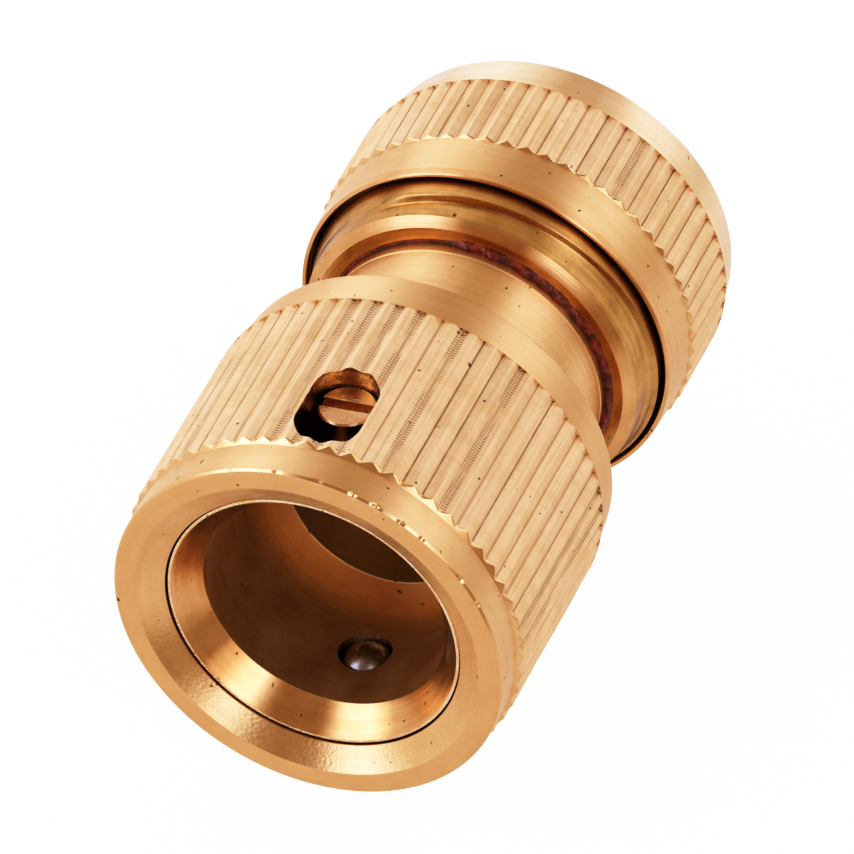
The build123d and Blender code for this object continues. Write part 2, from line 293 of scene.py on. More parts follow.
def cut(piece, cutters, sharp=40):
    """Cuts each cutter out of the piece and applies it."""
    for cutter in cutters:
        boolean = piece.modifiers.new("cut", "BOOLEAN")
        boolean.operation = "DIFFERENCE"
        boolean.solver = "EXACT"
        boolean.object = cutter
    bpy.context.view_layer.update()
    evaluated = piece.evaluated_get(bpy.context.evaluated_depsgraph_get())
    mesh = bpy.data.meshes.new_from_object(evaluated)
    piece.modifiers.clear()
    piece.data = mesh
    for cutter in cutters:
        bpy.data.objects.remove(cutter)
    piece.data.shade_smooth()
    piece.data.set_sharp_from_angle(angle=radians(sharp))


# ---------------------------------------------------------------- surfaces


def ramp(value, low, high):
    """0 below low, 1 above high, smooth between."""
    t = np.clip((value - low) / (high - low), 0, 1)
    return t * t * (3 - 2 * t)


def waver(a, b, seed):
    """A slow smooth variation between about -1 and 1 over two coordinates."""
    rng = np.random.default_rng(seed)
    total = 0
    for fa, fb, shift in rng.uniform((1, 1, 0), (4, 4, 2 * pi), (4, 3)):
        total = total + np.sin(fa * a + fb * b + shift)
    return total / 4


def tooth_height(angle, teeth, crest_angle):
    """1 on a crest and 0 in a valley of the knurl."""
    phase = (angle - radians(crest_angle)) * teeth / (2 * pi)
    away = 2 * np.abs(phase - np.round(phase))
    return np.clip((1 - VALLEY_SHARE - away) / (1 - VALLEY_SHARE - CREST_SHARE), 0, 1)


def knurled(teeth, crest_angle, ends, crest_r, seed):
    """Surface that cuts straight teeth into the blank between two y values."""
    rng = np.random.default_rng(seed)
    uneven = rng.normal(0, KNURL_UNEVEN, teeth)

    def surface(r, y, angle):
        number = np.round((angle - radians(crest_angle)) * teeth / (2 * pi)).astype(int) % teeth
        depth = KNURL_DEPTH * (1 + uneven[number])
        fall = 1 - tooth_height(angle, teeth, crest_angle)
        wear = CREST_WEAR * (1 + waver(number * 1.7, y * 0.5, seed))
        tooth_r = crest_r - depth * fall - wear
        between = (y > ends[0] + END_ROOM) & (y < ends[1] - END_ROOM) & (r > crest_r - 1)
        return np.where(between, np.minimum(r, tooth_r), r), y

    return surface


def threaded(r, y, angle):
    """The hose tail's collar: the thread's first ridge stands on the lead-in cone, and grooves follow it."""
    along = np.degrees(angle)
    away = y - RIDGE_AT_TOP - THREAD_LEAD * along / 360
    ridge = ramp(away, -RIDGE_FLANK, RIDGE_FLANK) * ramp(along, RIDGE_START, RIDGE_START + RIDGE_RUN_IN)
    raised = r + ridge * (RIDGE_R - r)
    behind = away % THREAD_LEAD
    groove = ramp(behind, *GROOVE_FRONT) * (1 - ramp(behind, *GROOVE_REAR))
    deepens = ramp(y, NUT_FRONT + 0.1, NUT_FRONT + 0.5)
    threaded_r = raised - groove * deepens * (RIDGE_R - THREAD_ROOT_R)
    return np.where(on_thread(r, y), threaded_r, r), y


def on_thread(r, y):
    """Whether a point of the hose tail's outline lies on the lead-in cone or the thread."""
    return (r > LEAD_IN_R - 0.05) & (y < THREAD_REAR)


def nut_ridge(half_base):
    """The nut's right-handed thread ridge, which stands inwards from its bore."""
    bury, soften, flank = 0.08, 0.06, 0.22
    fade_in, fade_out = 30, 12
    half_crest = half_base - flank
    verts = []
    count = int(NUT_RIDGE_TURNS[1] - NUT_RIDGE_TURNS[0])
    for step in range(count + 1):
        fade = float(ramp(step, 0, fade_in) * (1 - ramp(step, count - fade_out, count)))
        top = (NUT_THREAD_R - NUT_RIDGE_R) * fade
        low = max(top - soften, 0)
        section = [
            (-bury, -half_base),
            (0.0, -half_base),
            (low, -half_crest - soften / 2),
            (top, -half_crest + soften),
            (top, half_crest - soften),
            (low, half_crest + soften / 2),
            (0.0, half_base),
            (-bury, half_base),
        ]
        turn = radians(NUT_RIDGE_TURNS[0] + step)
        middle = NUT_RIDGE_AT_TOP + THREAD_LEAD * turn / (2 * pi)
        for rise, offset in section:
            r = NUT_THREAD_R - rise
            verts.append((r * sin(turn) * MM, (middle + offset) * MM, r * cos(turn) * MM))
    width = len(section)
    faces = [tuple(range(width)), tuple(range(count * width, (count + 1) * width))]
    faces += tube_faces(count, width)
    return new_piece("nut_thread", verts, faces, "nut", sharp=50)


def tube_faces(count, width):
    """Faces between count + 1 rings of width points each."""
    faces = []
    for step in range(count):
        for corner in range(width):
            a = step * width + corner
            b = step * width + (corner + 1) % width
            faces.append((a, b, b + width, a + width))
    return faces


# ---------------------------------------------------------------- pieces


def make_sleeve():
    """Release sleeve: front lip and dish, knurl, ball cone, guide land and spring chamber."""
    rear = SLEEVE_KNURL[1]
    ledge_front, ledge_rear = ledge(SLEEVE_KNURL, SLEEVE_LEDGE)
    outline = rounded(
        [
            (12.47, 0, 0.05),
            (SLEEVE_BAND_R - 0.15, 0, 0.02),
            (SLEEVE_BAND_R, 0.15, 0.03),
            (SLEEVE_BAND_R, ledge_front),
            (SLEEVE_CREST_R, ledge_rear),
            (SLEEVE_CREST_R, rear, 0.05),
            (SLEEVE_REAR_BAND_R, rear),
            (SLEEVE_REAR_BAND_R, SLEEVE_REAR, 0.3),
            (12.75, SLEEVE_REAR, 0.05),
            (12.45, SLEEVE_REAR - 0.4),
            (12.45, 12.7),
            (10.6, 12.7),
            (10.6, 10.5),
            (11.877, 10.5),
            (12.935, 5.9),
            (12.935, 2.2),
            (10.72, 2.2),
            (10.72, 0.97, 0.08),
        ]
    )
    teeth = knurled(SLEEVE_TEETH, SLEEVE_CREST_ANGLE, (ledge_front, rear), SLEEVE_CREST_R, 3)

    def surface(r, y, angle):
        return nicked(*teeth(r, y, angle), angle)

    def step(r, y):
        return SLEEVE_LEDGE_STEP if r > SLEEVE_BAND_R and y < ledge_rear else COARSE_STEP

    segments = SLEEVE_TEETH * STEPS_PER_TOOTH
    piece = lathe("sleeve_shell", outline, segments, "sleeve", surface, step, SLEEVE_REGIONS)
    middle = sum(HOLE_SPAN) / 2
    stretch = HOLE_SPAN[1] - HOLE_SPAN[0] - HOLE_WIDTH
    cut(piece, [cylinder_cutter(HOLE_WIDTH / 2, HOLE_FOOT, HOLE_TOP, HOLE_ANGLE, middle, stretch)])
    paint_hole(piece, MATERIALS["drilled"], middle, stretch)
    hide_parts("release_sleeve")


def ledge(knurl, ends):
    """The y values between which a knurl's ledge rises."""
    return knurl[0] + ends[0], knurl[0] + ends[1]


def paint_hole(piece, material, middle, stretch):
    """Gives the walls of the sleeve's hole their own material."""
    piece.data.materials.append(material)
    back = Matrix.Rotation(radians(-HOLE_ANGLE), 3, "Y")
    for face in piece.data.polygons:
        x, y, z = back @ face.center / MM
        y = max(abs(y - middle) - stretch / 2, 0)
        if z > HOLE_FOOT and abs(hypot(x, y) - HOLE_WIDTH / 2) < 0.02:
            face.material_index = len(piece.data.materials) - 1


# Small dents along the sleeve's front edge: angle, half width in degrees and depth in millimetres
EDGE_NICKS = (
    (-24.0, 0.7, 0.06),
    (-9.0, 0.9, 0.05),
    (3.0, 1.4, 0.08),
    (13.5, 0.9, 0.20),
    (20.5, 0.9, 0.24),
    (28.5, 0.8, 0.20),
    (36.0, 0.7, 0.12),
    (52.0, 0.8, 0.12),
    (61.0, 0.8, 0.12),
)


def nicked(r, y, angle):
    """Dents in the outer front edge of the sleeve. They push the metal inwards and a little back."""
    reach_r, reach_y = 0.14, 0.16
    edge_y, push_back = 0.05, 0.7
    on_edge = np.exp(-(((r - SLEEVE_BAND_R) / reach_r) ** 2) - (((y - edge_y) / reach_y) ** 2))
    for at, half_width, depth in EDGE_NICKS:
        off = (np.degrees(angle) - at) / half_width
        dent = depth * np.exp(-off * off) * on_edge
        r = r - dent
        y = y + dent * push_back
    return r, y


def make_socket():
    """Socket body: mouth, bore with its ball pockets, nose bore, barrel, collar and neck."""
    outline = rounded(
        [
            (10.38, BODY_FRONT, 0.04),
            (MOUTH_R, BODY_FRONT, 0.04),
            (MOUTH_R, BODY_FRONT + 0.4),
            (BARREL_R, BODY_FRONT + 0.8),
            (BARREL_R, COLLAR_FRONT),
            (COLLAR_R, COLLAR_FRONT, 0.1),
            (COLLAR_R, COLLAR_REAR, 0.1),
            (10.69, COLLAR_REAR),
            (9.95, 22.5, 0.8),
            (9.95, 26.4, 3),
            (10.07, 27.6, 1),
            (FLANGE_R, 28.68),
            (10.07, 28.8),
            (FLANGE_R, 28.92),
            (FLANGE_R, FLANGE_REAR),
            (SPIGOT_R, FLANGE_REAR),
            (SPIGOT_R, BODY_REAR),
            (5.0, BODY_REAR),
            (5.0, 26.5),
            (NOSE_BORE_R, 24.5),
            (NOSE_BORE_R, BORE_REAR, 0.08),
            (BORE_R, BORE_REAR),
            (BORE_R, 3.17, 0.1),
        ]
    )
    piece = lathe("socket_shell", outline, 256, "root", regions=SOCKET_REGIONS)
    cutters = [cylinder_cutter(SCREW_HOLE_R, SCREW_FOOT, POCKET_TOP, HOLE_ANGLE, SCREW_Y)]
    for angle in BALL_ANGLES:
        cutters.append(cylinder_cutter(POCKET_SEAT_R, POCKET_FOOT, POCKET_TOP, angle, BALL_Y))
        cutters.append(cylinder_cutter(POCKET_R, POCKET_SEAT_TOP, POCKET_TOP, angle, BALL_Y))
    cut(piece, cutters)
    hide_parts("socket_body")


def make_tail():
    """Hose tail: chamfered front, threaded collar, hose pocket and barbed tube."""
    outline = [
        (10.48, TAIL_FRONT, 0.05),
        (11.48, TAIL_FRONT, 0.08),
        (LEAD_IN_R, 30.13, 0.03),
        (12.45, 31.5),
        (12.9, NUT_FRONT),
        (RIDGE_R, NUT_FRONT + 0.3),
        (RIDGE_R, THREAD_REAR),
        (THREAD_ROOT_R, THREAD_REAR + 0.3),
        (THREAD_ROOT_R, 39.0),
        (12.1, 39.4),
        (10.3, 39.4, 0.2),
        (10.3, 35.5),
        (TUBE_R, 35.5, 0.3),
    ]
    for start in BARB_STARTS:
        outline += [(TUBE_R, start), (BARB_R, start, 0.08), (TUBE_R, start + BARB_LENGTH)]
    outline += [
        (TUBE_R, TAIL_REAR, 0.3),
        (TUBE_BORE_R, TAIL_REAR, 0.15),
        (TUBE_BORE_R, 34.5),
        (SPIGOT_R, 34.5),
        (SPIGOT_R, SEAL_SEAT),
        (10.69, SEAL_SEAT),
        (10.69, 30.3),
    ]

    def step(r, y):
        if not on_thread(r, y):
            return COARSE_STEP
        return LEAD_IN_STEP if y < NUT_FRONT + 0.3 else THREAD_STEP

    piece = lathe("tail_shell", rounded(outline), 720, "root", threaded, step, TAIL_REGIONS)
    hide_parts("hose_tail")


def make_nut():
    """Clamp nut: knurl, internal thread, grip ring's seat and cone, and the hose hole."""
    front, rear = NUT_KNURL
    ledge_front, ledge_rear = ledge(NUT_KNURL, NUT_LEDGE)
    outline = rounded(
        [
            (13.35, NUT_FRONT, 0.04),
            (NUT_RIM_R, NUT_FRONT),
            (NUT_RIM_R + 0.12, NUT_FRONT + 0.09),
            (NUT_BAND_R - 0.06, NUT_FRONT + 0.7, 1.5),
            (NUT_BAND_R, front - 0.9, 2),
            (NUT_BAND_R, ledge_front),
            (NUT_CREST_R, ledge_rear),
            (NUT_CREST_R, rear, 0.05),
            (NUT_BAND_R, rear),
            (NUT_BAND_R - 0.1, rear + 1.2, 3),
            (NUT_REAR_R, NUT_REAR, 1.3),
            (9.7, NUT_REAR, 0.4),
            (9.7, 45.5),
            (10.8, 45.5),
            (12.4, 43.1),
            (12.4, 41.2),
            (NUT_THREAD_R, 41.2),
            (NUT_THREAD_R, 33.2),
        ],
        steps=6,
    )
    teeth = knurled(NUT_TEETH, NUT_CREST_ANGLE, (ledge_front, rear), NUT_CREST_R, 8)

    def step(r, y):
        return NUT_LEDGE_STEP if r > NUT_BAND_R and y < ledge_rear else COARSE_STEP

    segments = NUT_TEETH * STEPS_PER_TOOTH
    piece = lathe("nut_shell", outline, segments, "nut", teeth, step, NUT_REGIONS)
    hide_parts("clamp_nut")
    dress(nut_ridge(half_base=0.6), MATERIALS["inside"])


def make_seal():
    """Sealing compound in the joint at the neck, uneven where it was squeezed out."""
    outline = rounded(
        [
            (SPIGOT_R + 0.02, SEAL_REAR),
            (SEAL_R, SEAL_REAR),
            (SEAL_R, SEAL_FRONT + 0.2, 0.1),
            (10.44, SEAL_FRONT, 0.15),
            (FLANGE_R, SEAL_FRONT + 0.1, 0.05),
            (FLANGE_R, FLANGE_REAR),
            (SPIGOT_R + 0.02, FLANGE_REAR),
        ]
    )

    def surface(r, y, angle):
        bead = ramp(FLANGE_REAR - 0.2 - y, 0, 0.5) * (r > FLANGE_R - 0.01)
        lumps = waver(angle * 9, angle * 5, 21) + 0.6 * waver(angle * 23, angle * 31, 22)
        squeezed = ramp(np.cos(angle - radians(SEAL_BULGE_ANGLE)), 0.4, 0.65)
        front = SEAL_FLUSH + squeezed * (SEAL_BULGE_FRONT - SEAL_FLUSH + 0.16 * lumps)
        outer = (r > 10.3) & (y < SEAL_FRONT + 0.25)
        return r + outer * squeezed * (0.06 + 0.08 * lumps), y + bead * (front - SEAL_FRONT)

    def step(r, y):
        return SEAL_STEP

    piece = lathe("seal_bead", outline, 512, "root", surface, step)
    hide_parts("neck_seal")
    return piece


def make_spring():
    """Sleeve spring with a closed, ground turn at each end."""
    wire_r, flat_turns = 0.5, 0.6
    mean_r = SPRING_OUTER_R - wire_r
    low, high = SPRING_FRONT + wire_r, SPRING_REAR - wire_r
    turns, per_turn, sides = 4.5, 64, 16
    count = int(turns * per_turn)
    verts = []
    for step in range(count + 1):
        turn = turns * step / count
        rise = min(max((turn - flat_turns) / (turns - 2 * flat_turns), 0), 1)
        angle = 2 * pi * turn
        for side in range(sides):
            around = 2 * pi * side / sides
            r = mean_r + wire_r * cos(around)
            y = low + (high - low) * rise + wire_r * sin(around)
            verts.append((r * sin(angle) * MM, y * MM, r * cos(angle) * MM))
    faces = tube_faces(count, sides)
    faces.append(tuple(range(sides)))
    faces.append(tuple(range(count * sides, (count + 1) * sides)))
    piece = new_piece("spring_coil", verts, faces, "root")
    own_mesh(piece)
    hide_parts("sleeve_spring")
    return piece


# ---------------------------------------------------------------- materials


class Nodes:
    """Short calls for building a node tree."""

    def __init__(self, material):
        material.use_nodes = True
        self.tree = material.node_tree
        self.tree.nodes.clear()

    def add(self, kind, *inputs, out=0, **settings):
        """Adds a node, sets its settings and inputs by position, and returns its chosen output."""
        node = self.tree.nodes.new("ShaderNode" + kind)
        for key, value in settings.items():
            setattr(node, key, value)
        for socket, value in zip(node.inputs, inputs):
            self.feed(socket, value)
        return node.outputs[out]

    def feed(self, socket, value):
        """Links or sets one input, or leaves it alone if the value is None."""
        if value is None:
            return
        if isinstance(value, bpy.types.NodeSocket):
            self.tree.links.new(value, socket)
        else:
            socket.default_value = value

    def math(self, operation, *inputs):
        """One step of arithmetic."""
        return self.add("Math", *inputs, operation=operation)

    def blend(self, a, a_share, b, b_share):
        """The sum of two values, each times its share."""
        return self.math("ADD", self.math("MULTIPLY", a, a_share), self.math("MULTIPLY", b, b_share))

    def mix(self, share, a, b):
        """Colour a turning into b as share goes from 0 to 1."""
        node = self.tree.nodes.new("ShaderNodeMix")
        node.data_type = "RGBA"
        self.feed(node.inputs["Factor"], share)
        self.feed(node.inputs["A"], a)
        self.feed(node.inputs["B"], b)
        return node.outputs["Result"]

    def noise(self, vector, scale, detail=3.0, rough=0.55):
        """Smooth noise from 0 to 1 at a place."""
        node = self.tree.nodes.new("ShaderNodeTexNoise")
        self.feed(node.inputs["Vector"], vector)
        node.inputs["Scale"].default_value = scale
        node.inputs["Detail"].default_value = detail
        node.inputs["Roughness"].default_value = rough
        return node.outputs["Fac"]

    def band(self, value, low, high, to_low=0.0, to_high=1.0):
        """Smooth step from to_low to to_high as value goes from low to high."""
        node = self.tree.nodes.new("ShaderNodeMapRange")
        node.interpolation_type = "SMOOTHSTEP"
        for name, entry in (("Value", value), ("From Min", low), ("From Max", high)):
            self.feed(node.inputs[name], entry)
        node.inputs["To Min"].default_value = to_low
        node.inputs["To Max"].default_value = to_high
        return node.outputs["Result"]

    def bump(self, height, distance, strength=1.0, normal=None):
        """Normal bent by a height from 0 to 1 that stands for a distance in metres, on top of another."""
        node = self.tree.nodes.new("ShaderNodeBump")
        node.inputs["Strength"].default_value = strength
        node.inputs["Distance"].default_value = distance
        self.feed(node.inputs["Height"], height)
        self.feed(node.inputs["Normal"], normal)
        return node.outputs["Normal"]

    def shader(self, **inputs):
        """A principled surface, with underscores in its input names for spaces."""
        node = self.tree.nodes.new("ShaderNodeBsdfPrincipled")
        for name, value in inputs.items():
            self.feed(node.inputs[name.replace("_", " ")], value)
        output = self.tree.nodes.new("ShaderNodeOutputMaterial")
        self.tree.links.new(node.outputs[0], output.inputs[0])


# Heights of the brass's relief in metres, the colours of what is worn or dirty in it, and painted shade for
# a knurl's valleys and the dark lines in them
RING_HEIGHT = 0.000010
GRAIN_HEIGHT = 0.000012
MARK_DEPTH = 0.00003
PIT_DEPTH = 0.00004
PIT_COLOUR = (0.07, 0.03, 0.012, 1)
# Dark colour shared by the real cutter marks and the valley lines, which are painted shade
MARK_AND_SHADE_COLOUR = (0.24, 0.13, 0.05, 1)
# Painted shade along the bottom of each knurl valley
VALLEY_SHADE_COLOUR = (0.55, 0.33, 0.15, 1)
STREAK_COLOUR = (0.62, 0.39, 0.18, 1)
DASH_PITCH = 0.25
STREAKS_PER_RADIAN = 110.0


def axis_coordinates(nodes):
    """Radius and y in millimetres and the angle round Y in radians, from the object's own coordinates."""
    place = nodes.add("TexCoord", out=3)
    split = nodes.add("SeparateXYZ", place).node
    x, y, z = split.outputs
    squares = nodes.math("ADD", nodes.math("MULTIPLY", x, x), nodes.math("MULTIPLY", z, z))
    radius = nodes.math("MULTIPLY", nodes.math("SQRT", squares), 1 / MM)
    y = nodes.math("MULTIPLY", y, 1 / MM)
    angle = nodes.math("ARCTAN2", x, z)
    return place, radius, y, angle


def turned_lines(nodes, radius, y, angle, per_mm, detail):
    """Noise drawn out round the axis, like the lines a lathe tool leaves."""
    around = nodes.math("MULTIPLY", angle, 1.3)
    across = nodes.math("MULTIPLY", radius, per_mm)
    along = nodes.math("MULTIPLY", y, per_mm)
    return nodes.noise(nodes.add("CombineXYZ", across, along, around), 1.0, detail, 0.6)


def brass(name, light, dark, rough, anisotropy=0.0, rings=1.0, mottle=0.0, knurl=None):
    """Brass with the rings a lathe leaves, cloudy tone and dark pits.

    light and dark are the tones it clouds between, and rough is the range of its roughness. rings and
    mottle scale the lathe lines and the grain, and knurl gives chatter() its teeth.
    """
    material = bpy.data.materials.new(name)
    nodes = Nodes(material)
    place, radius, y, angle = axis_coordinates(nodes)
    fine_lines = turned_lines(nodes, radius, y, angle, 14.0, 2.0)
    coarse_lines = turned_lines(nodes, radius, y, angle, 2.6, 3.0)
    clouds = nodes.noise(place, 330.0, 4.0, 0.65)
    grain = nodes.noise(place, 4200.0, 2.0, 0.5)
    pit = nodes.band(nodes.noise(place, 1500.0, 3.0, 0.5), 0.715, 0.75)
    tone = nodes.blend(clouds, 0.65, coarse_lines, 0.35)
    colour = nodes.mix(nodes.band(tone, 0.36, 0.62), dark, light)
    height = nodes.blend(fine_lines, 0.5, coarse_lines, 0.9)
    normal = nodes.bump(height, RING_HEIGHT * rings)
    if mottle:
        normal = nodes.bump(grain, GRAIN_HEIGHT * mottle, 1.0, normal)
    if knurl:
        colour, normal = knurl_marks_and_shade(nodes, place, y, angle, colour, normal, *knurl)
    colour = nodes.mix(nodes.math("MULTIPLY", pit, 0.8), colour, PIT_COLOUR)
    normal = nodes.bump(nodes.math("MULTIPLY", pit, -1.0), PIT_DEPTH, 1.0, normal)
    level = nodes.blend(clouds, 0.5, fine_lines, 0.5)
    inputs = {
        "Base_Color": colour,
        "Metallic": 1.0,
        "Roughness": nodes.band(level, 0.35, 0.65, *rough),
        "Normal": normal,
    }
    if anisotropy:
        inputs["Anisotropic"] = anisotropy
        inputs["Anisotropic_Rotation"] = 0.25
        inputs["Tangent"] = nodes.add("Tangent", direction_type="RADIAL", axis="Y")
    nodes.shader(**inputs)
    return material


def knurl_marks_and_shade(nodes, place, y, angle, colour, normal, teeth, crest_angle, dashes):
    """Drawn streaks on a knurl, painted shade along its valleys with a darker painted-shade line of varying
    strength in each, and two rows of cutter marks on some teeth.

    valley is 0 in the middle of a valley and 0.5 on a crest, and chosen is a random number for each tooth.
    """
    phase = nodes.math("MULTIPLY", nodes.math("SUBTRACT", angle, radians(crest_angle)), teeth / (2 * pi))
    valley = nodes.math("ABSOLUTE", nodes.math("SUBTRACT", nodes.math("FRACT", phase), 0.5))
    chosen = nodes.add("TexWhiteNoise", None, nodes.math("FLOOR", phase), noise_dimensions="1D")
    wobble = nodes.noise(place, 700.0, 3.0, 0.6)
    # Dark line down each valley, of a strength that varies from tooth to tooth: painted shade
    line = nodes.band(nodes.blend(valley, 1.0, wobble, 0.05), 0.06, 0.03)
    strength = nodes.band(chosen, dashes, 0.9, 0.15, 0.75)
    line = nodes.math("MULTIPLY", line, nodes.math("MULTIPLY", strength, nodes.band(wobble, 0.2, 0.4)))
    wave = nodes.math("SINE", nodes.math("MULTIPLY", y, 2 * pi / DASH_PITCH))
    dash = nodes.band(nodes.blend(wave, 1.0, wobble, 1.4), 0.6, 1.1)
    row = nodes.band(nodes.math("ABSOLUTE", nodes.math("SUBTRACT", valley, 0.14)), 0.085, 0.04)
    patchy = nodes.band(nodes.noise(place, 260.0, 2.0, 0.5), 0.34, 0.56)
    some = nodes.math("MULTIPLY", nodes.band(chosen, dashes + 0.05, dashes), patchy)
    dash = nodes.math("MULTIPLY", nodes.math("MULTIPLY", row, dash), some)
    # Painted-shade valley lines together with the real cutter marks
    marks_and_shade = nodes.math("MAXIMUM", line, nodes.math("MULTIPLY", dash, 0.62))
    around = nodes.math("MULTIPLY", angle, STREAKS_PER_RADIAN)
    streaks = nodes.noise(nodes.add("CombineXYZ", around, nodes.math("MULTIPLY", y, 0.12)), 1.0, 3.0, 0.6)
    colour = nodes.mix(nodes.band(streaks, 0.48, 0.66, 0.0, 0.28), colour, STREAK_COLOUR)
    # Painted shade along each valley
    colour = nodes.mix(nodes.band(valley, 0.10, 0.02, 0.0, 0.45), colour, VALLEY_SHADE_COLOUR)
    colour = nodes.mix(marks_and_shade, colour, MARK_AND_SHADE_COLOUR)
    return colour, nodes.bump(nodes.math("MULTIPLY", marks_and_shade, -1.0), MARK_DEPTH, 1.0, normal)


def steel(name, colour, rough):
    """Polished or drawn steel with a faint oily film."""
    material = bpy.data.materials.new(name)
    nodes = Nodes(material)
    place = nodes.add("TexCoord", out=3)
    film = nodes.noise(place, 900.0, 4.0, 0.6)
    shade = nodes.mix(nodes.band(film, 0.35, 0.65), colour, [c * 0.55 for c in colour[:3]] + [1])
    normal = nodes.bump(film, 0.00002, 0.6)
    roughness = nodes.band(film, 0.3, 0.7, rough * 0.7, rough * 1.5)
    nodes.shader(Base_Color=shade, Metallic=1.0, Roughness=roughness, Normal=normal)
    return material


def sealant():
    """Cured dark red compound, glossy and lumpy."""
    material = bpy.data.materials.new("thread_sealant")
    nodes = Nodes(material)
    place = nodes.add("TexCoord", out=3)
    lumps = nodes.noise(place, 1400.0, 3.0, 0.6)
    colour = nodes.mix(nodes.band(lumps, 0.3, 0.7), (0.14, 0.015, 0.006, 1), (0.45, 0.10, 0.045, 1))
    normal = nodes.bump(lumps, 0.00012, 1.0)
    nodes.shader(Base_Color=colour, Roughness=0.16, Coat_Weight=0.4, Normal=normal)
    return material


def nylon():
    """Moulded natural nylon, matte."""
    material = bpy.data.materials.new("moulded_nylon")
    nodes = Nodes(material)
    place = nodes.add("TexCoord", out=3)
    cloud = nodes.noise(place, 500.0, 4.0, 0.6)
    colour = nodes.mix(nodes.band(cloud, 0.3, 0.7), (0.72, 0.69, 0.60, 1), (0.80, 0.78, 0.71, 1))
    normal = nodes.bump(cloud, 0.00002, 0.5)
    nodes.shader(Base_Color=colour, Roughness=0.5, Subsurface_Weight=0.08, Normal=normal)
    return material


def dress(piece, material):
    """Gives a piece one material, in every slot it has."""
    if not piece.data.materials:
        piece.data.materials.append(material)
        return
    for slot in piece.material_slots:
        slot.material = material


# ---------------------------------------------------------------- studio


def area_light(name, place, aim, size, power):
    """A soft box at a place, aimed at a point."""
    light = bpy.data.lights.new(name, "AREA")
    light.shape = "RECTANGLE"
    light.size, light.size_y = size
    light.energy = power
    lamp = bpy.data.objects.new(name, light)
    lamp.location = place
    lamp.rotation_euler = (Vector(aim) - Vector(place)).to_track_quat("-Z", "Y").to_euler()
    bpy.context.scene.collection.objects.link(lamp)


# Studio tent, told by what the connector sees at each angle round its length: (angle, light).
# Two long soft boxes with a slit between them stand over it. In front they stand out sharply against
# dark cloths, and behind they melt into the white tent.
TENT_FRONT = (
    (-180, 0.75),
    (-90, 0.72),
    (-66, 0.84),
    (-40, 0.92),
    (-30, 1.15),
    (-24, 1.75),
    (-11, 1.75),
    (-6, 0.95),
    (-2, 0.40),
    (19, 0.36),
    (24, 1.00),
    (28, 1.65),
    (36, 1.55),
    (42, 0.80),
    (50, 0.42),
    (63, 0.40),
    (74, 0.78),
    (90, 0.85),
    (112, 0.62),
    (180, 0.75),
)
TENT_REAR = (
    (-180, 0.72),
    (-100, 0.90),
    (-60, 1.04),
    (-30, 1.00),
    (-20, 1.24),
    (-13, 1.20),
    (-4, 0.98),
    (2, 0.80),
    (7, 0.62),
    (15, 0.62),
    (21, 0.78),
    (28, 1.14),
    (38, 1.14),
    (48, 0.88),
    (55, 0.78),
    (66, 0.98),
    (80, 0.86),
    (110, 0.84),
    (180, 0.72),
)

# Centre that those angles are measured round, as a shift in x and z of a unit direction, the tent's
# brightest light, and the light of the table below
TENT_LEAN = (0.272, 0.684)
TENT_PEAK = 2.6
TENT_TABLE = 0.75

# Backdrop's and floor's light to the camera, the share of the floor's that glows, its paper and its side
BACKDROP = 1.2
FLOOR_GLOW = 1.35
FLOOR_GLOW_SHARE = 0.75
FLOOR_PAPER = (0.85, 0.85, 0.85, 1)
FLOOR_SIZE = 3.0

# Lamps: width and height in metres, and power in watts
LAMP_SIZE = (0.30, 0.42)
LAMP_POWER = 0.15


def tent_colour(light):
    """Warm where the tent is dark and cool where it is bright."""
    colour = (0.99 * light**0.7, light, 1.12 * light**1.4)
    return (*[level / TENT_PEAK for level in colour], 1)


def tent_ramp(nodes, turn, tent):
    """The tent's light round the connector, as a share of its peak."""
    node = nodes.add("ValToRGB", turn).node
    stops = node.color_ramp.elements
    while len(stops) < len(tent):
        stops.new(0.5)
    for stop, (angle, light) in zip(stops, tent):
        stop.position = angle / 360 + 0.5
        stop.color = tent_colour(light)
    return node.outputs["Color"]


def make_world():
    """White tent with two long soft boxes, a slit between them and a table, plain white to the camera."""
    world = bpy.data.worlds.new("studio")
    bpy.context.scene.world = world
    nodes = Nodes(world)
    tree = nodes.tree
    x, y, z = nodes.add("SeparateXYZ", nodes.add("TexCoord", out=0)).node.outputs
    across = nodes.math("ADD", x, TENT_LEAN[0])
    upward = nodes.math("ADD", z, TENT_LEAN[1])
    turns = nodes.math("MULTIPLY", nodes.math("ARCTAN2", across, upward), 1 / (2 * pi))
    turn = nodes.math("ADD", turns, 0.5)
    front = tent_ramp(nodes, turn, TENT_FRONT)
    rear = tent_ramp(nodes, turn, TENT_REAR)
    background = tree.nodes.new("ShaderNodeBackground")
    tent = nodes.mix(nodes.band(y, -0.15, 0.45), front, rear)
    below = nodes.band(nodes.math("MULTIPLY", z, -1.0), 0.76, 0.88)
    tree.links.new(nodes.mix(below, tent, tent_colour(TENT_TABLE)), background.inputs["Color"])
    background.inputs["Strength"].default_value = TENT_PEAK
    plain = tree.nodes.new("ShaderNodeBackground")
    plain.inputs["Strength"].default_value = BACKDROP
    plain.inputs["Color"].default_value = (1, 1, 1, 1)
    mix_node = tree.nodes.new("ShaderNodeMixShader")
    tree.links.new(nodes.add("LightPath"), mix_node.inputs[0])
    tree.links.new(background.outputs[0], mix_node.inputs[1])
    tree.links.new(plain.outputs[0], mix_node.inputs[2])
    output = tree.nodes.new("ShaderNodeOutputWorld")
    tree.links.new(mix_node.outputs[0], output.inputs[0])


